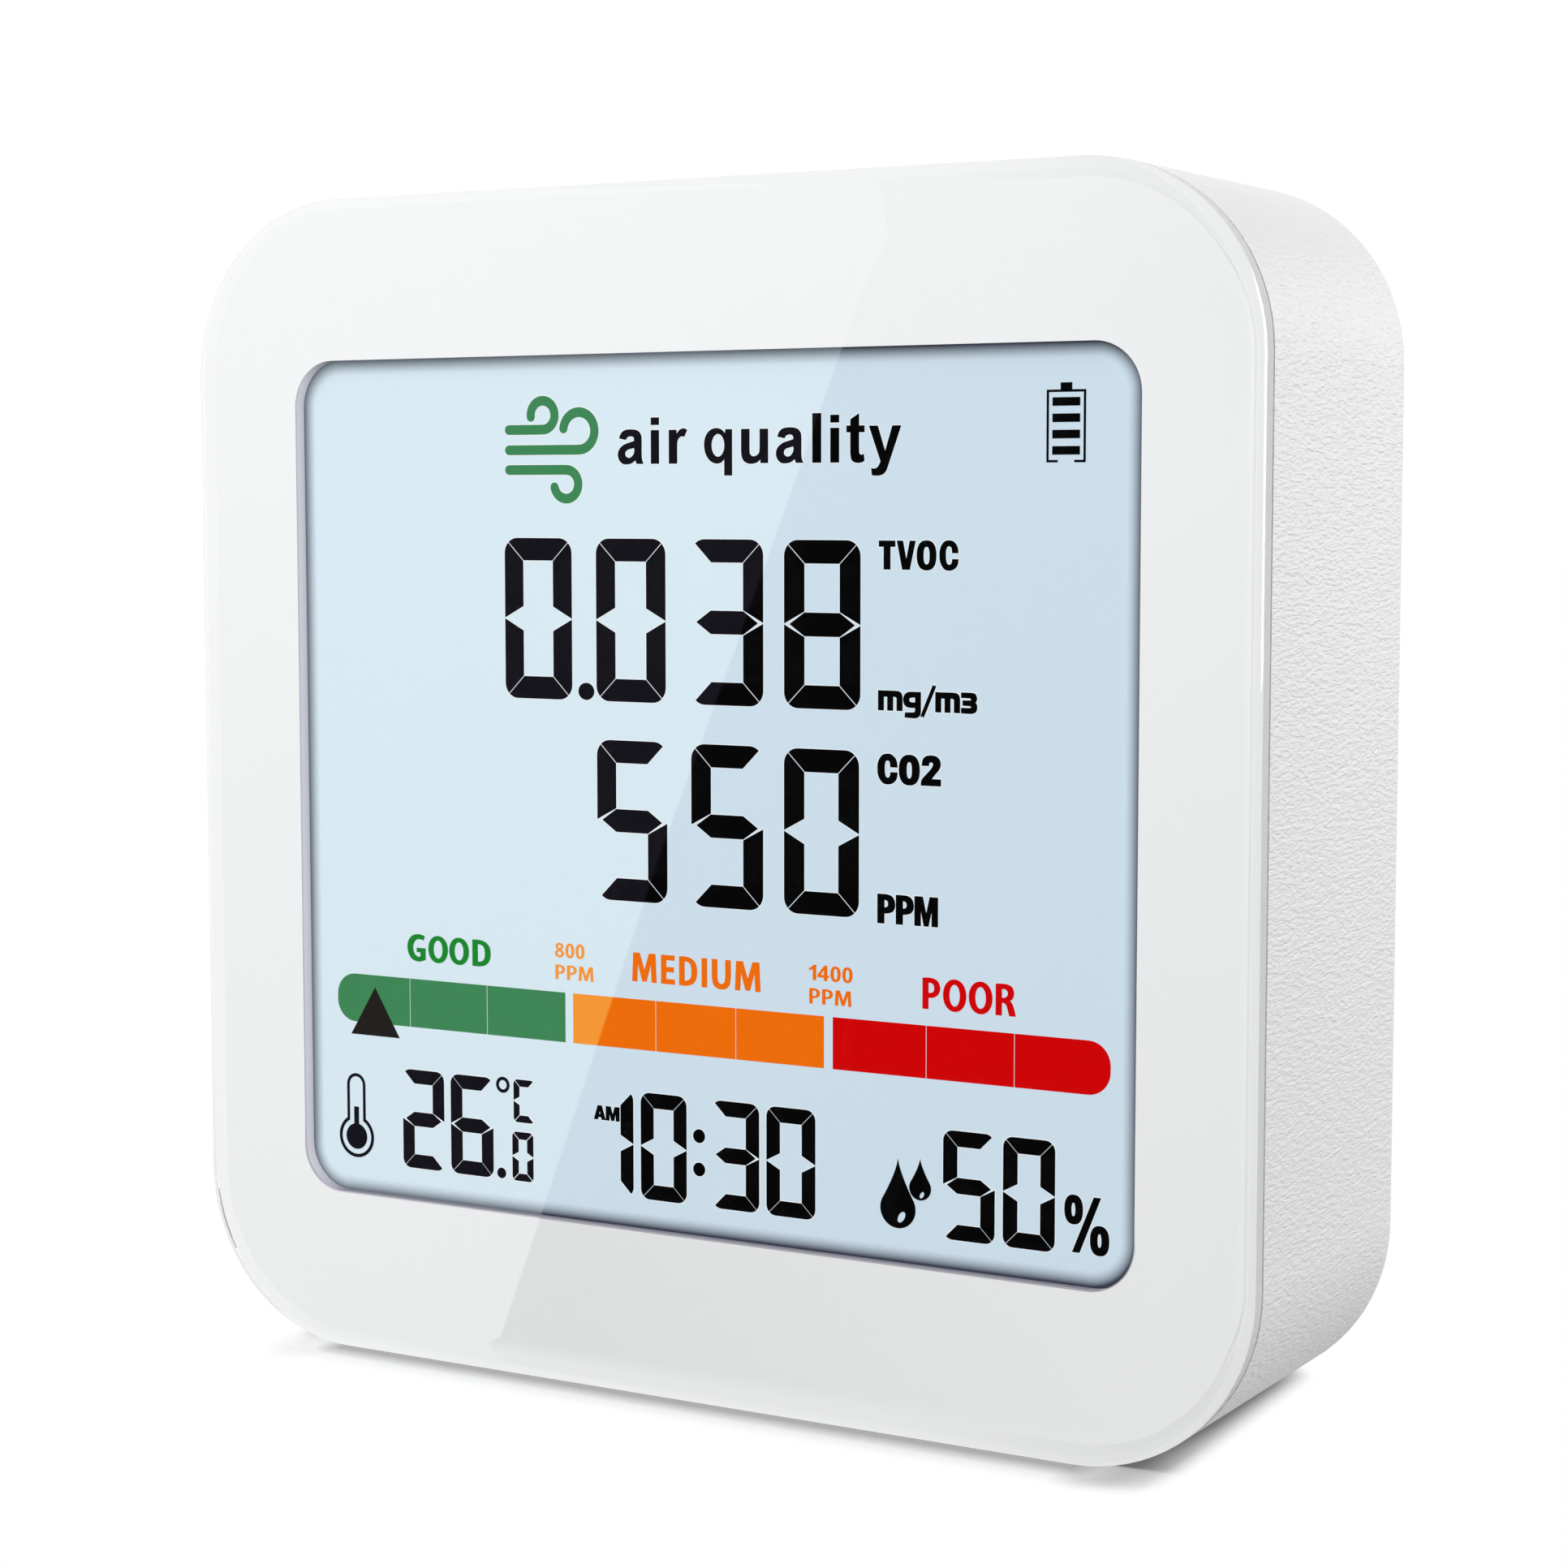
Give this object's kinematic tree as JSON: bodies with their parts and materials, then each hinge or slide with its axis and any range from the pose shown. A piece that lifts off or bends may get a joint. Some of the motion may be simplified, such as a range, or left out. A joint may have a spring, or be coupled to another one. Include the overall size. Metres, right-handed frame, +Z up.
{
  "type": "air quality monitor",
  "caption": "Square desk or wall air quality monitor with a clear front plate over a segment display, a deep textured housing, rear keys, vents and a folding prop stand.",
  "frame": {"origin": "middle of the flat underside, on the resting plane", "axes": "+X to the right seen from the front, +Y from the display face to the rear, +Z up"},
  "size_m": [0.086, 0.028, 0.086],
  "materials": {
    "lens": "clear gloss",
    "mask": "gloss white print",
    "tape": "matte",
    "white_shell": "fine spark-eroded texture",
    "white_inner": "matte",
    "display": "satin, pale blue",
    "display_glass": "polished",
    "light_guide": "polished, translucent",
    "reflector": "satin white film",
    "led_white": "gloss",
    "contact_rubber": "matte",
    "circuit_board": "solder mask",
    "black_epoxy": "matte",
    "sensor_metal": "drawn can",
    "screw_steel": "zinc plated",
    "key_grey": "satin",
    "socket_steel": "stamped",
    "cell_foil": "laminate foil",
    "pad_foam": "foam",
    "lead_red": "insulation",
    "lead_black": "insulation",
    "ribbon": "polyimide film",
    "gauze": "woven gauze"
  },
  "bodies": {
    "case": {"backlight_leds": "led_white", "backlight_tray": "white_inner", "battery_cell": "cell_foil", "battery_lead_negative": "lead_black", "battery_lead_positive": "lead_red", "battery_pad": "pad_foam", "board_screws": "screw_steel", "buzzer": "black_epoxy", "charge_controller": "black_epoxy", "climate_board": "circuit_board", "climate_header": "black_epoxy", "climate_sensor": "white_inner", "contact_strip_lower": "contact_rubber", "contact_strip_upper": "contact_rubber", "dust_screens": "gauze", "front_frame": "white_inner", "front_lens": "lens", "front_polariser": "display", "gas_board": "circuit_board", "gas_header": "black_epoxy", "gas_sensor": "sensor_metal", "housing": "white_shell", "housing_screws": "screw_steel", "key_board": "circuit_board", "key_ribbon": "ribbon", "key_switch_bodies": "black_epoxy", "lcd_front_glass": "display_glass", "lcd_rear_glass": "display_glass", "led_board": "circuit_board", "lens_adhesive": "tape", "lens_mask": "mask", "light_guide": "light_guide", "main_board": "circuit_board", "microcontroller": "black_epoxy", "power_board": "circuit_board", "power_ribbon": "ribbon", "power_switch_body": "black_epoxy", "rear_board_screws": "screw_steel", "rear_polariser": "display", "reflector_sheet": "reflector", "usb_socket": "socket_steel", "usb_tongue": "black_epoxy"},
    "stand": {"stand": "white_shell"},
    "key_set": {"key_set": "key_grey"},
    "key_up": {"key_up": "key_grey"},
    "key_down": {"key_down": "key_grey"},
    "plunger_set": {"plunger_set": "black_epoxy"},
    "plunger_up": {"plunger_up": "black_epoxy"},
    "plunger_down": {"plunger_down": "black_epoxy"},
    "power_switch_lever": {"power_switch_lever": "black_epoxy"}
  },
  "joints": [
    {"name": "stand_hinge", "type": "hinge", "parent": "case", "child": "stand", "pos_m": [0, 0.01275, 0.05], "axis": [1, 0, 0], "range_deg": [0, 30]},
    {"name": "power_switch_slide", "type": "slide", "parent": "case", "child": "power_switch_lever", "axis": [0, 0, -1], "range_m": [0, 0.002]},
    {"name": "key_set_press", "type": "slide", "parent": "case", "child": "key_set", "axis": [0, -1, 0], "range_m": [0, 0.0005], "stiffness_N_per_m": 60, "springref_m": -0.0003},
    {"name": "plunger_set_press", "type": "slide", "parent": "case", "child": "plunger_set", "axis": [0, -1, 0], "range_m": [0, 0.0005]},
    {"name": "key_up_press", "type": "slide", "parent": "case", "child": "key_up", "axis": [0, -1, 0], "range_m": [0, 0.0005], "stiffness_N_per_m": 60, "springref_m": -0.0003},
    {"name": "plunger_up_press", "type": "slide", "parent": "case", "child": "plunger_up", "axis": [0, -1, 0], "range_m": [0, 0.0005]},
    {"name": "key_down_press", "type": "slide", "parent": "case", "child": "key_down", "axis": [0, -1, 0], "range_m": [0, 0.0005], "stiffness_N_per_m": 60, "springref_m": -0.0003},
    {"name": "plunger_down_press", "type": "slide", "parent": "case", "child": "plunger_down", "axis": [0, -1, 0], "range_m": [0, 0.0005]}
  ],
  "couplings": [
    {"joint": "plunger_set_press", "follows": "key_set_press", "ratio": 1},
    {"joint": "plunger_up_press", "follows": "key_up_press", "ratio": 1},
    {"joint": "plunger_down_press", "follows": "key_down_press", "ratio": 1}
  ]
}
